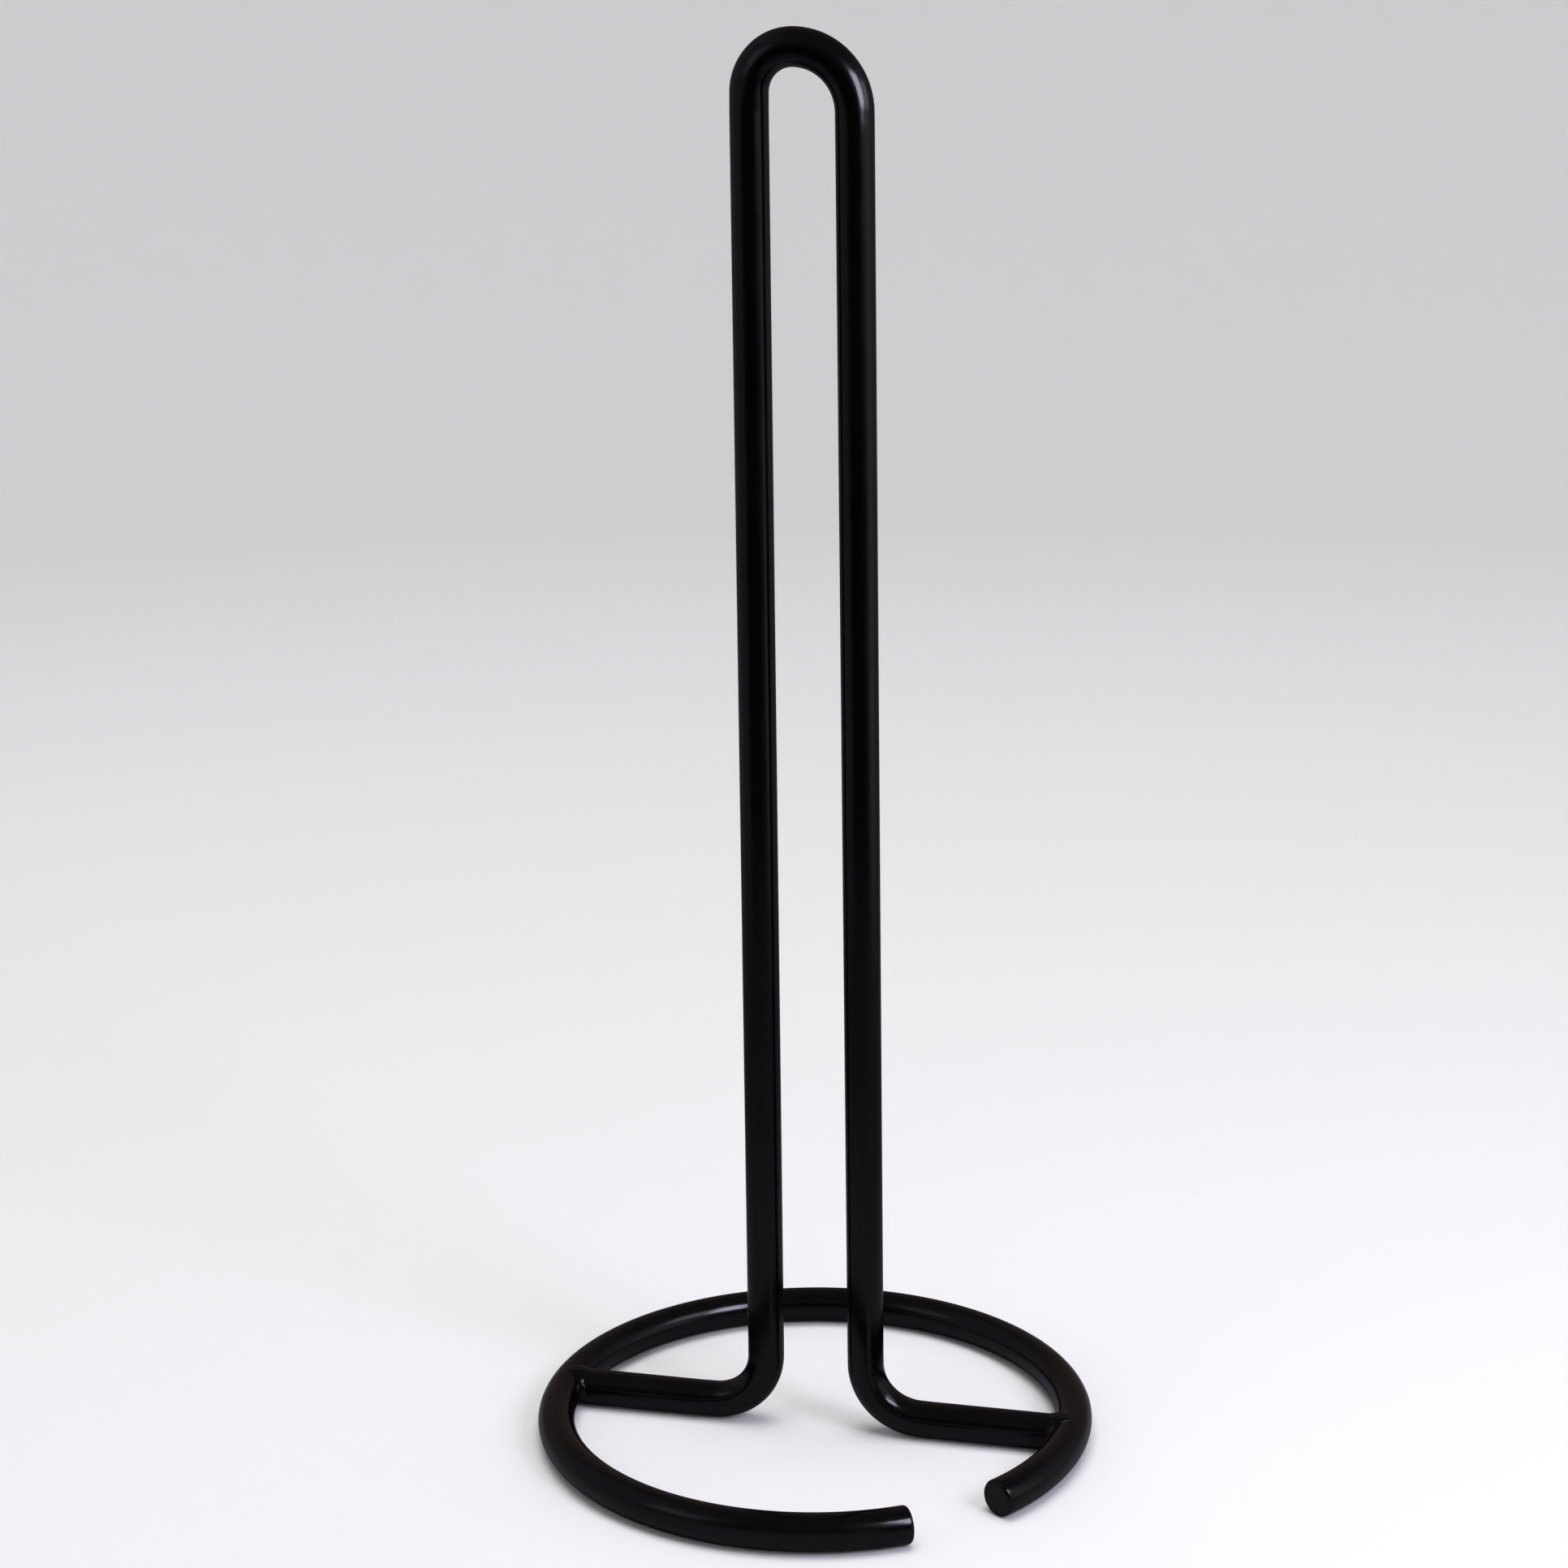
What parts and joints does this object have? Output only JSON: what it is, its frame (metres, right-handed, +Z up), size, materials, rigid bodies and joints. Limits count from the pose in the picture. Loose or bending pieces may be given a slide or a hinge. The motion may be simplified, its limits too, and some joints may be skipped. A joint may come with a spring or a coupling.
{
  "type": "paper towel holder",
  "caption": "Freestanding paper towel holder: a tall hairpin post of bent round bar, its legs welded across the inside of an open ring base, for a roll to slide down over.",
  "frame": {"origin": "the ring's centre, on the surface that the holder stands on", "axes": "+Z up along the post, +X along the legs to the right, -Y to the front, where the ring's mouth is at the right"},
  "size_m": [0.123, 0.123, 0.303],
  "materials": {
    "black_powder_coat": "semi-gloss black powder coat on steel bar"
  },
  "bodies": {
    "root": {"base_ring": "black_powder_coat", "hairpin_post": "black_powder_coat", "left_weld": "black_powder_coat", "right_weld": "black_powder_coat"}
  },
  "joints": []
}
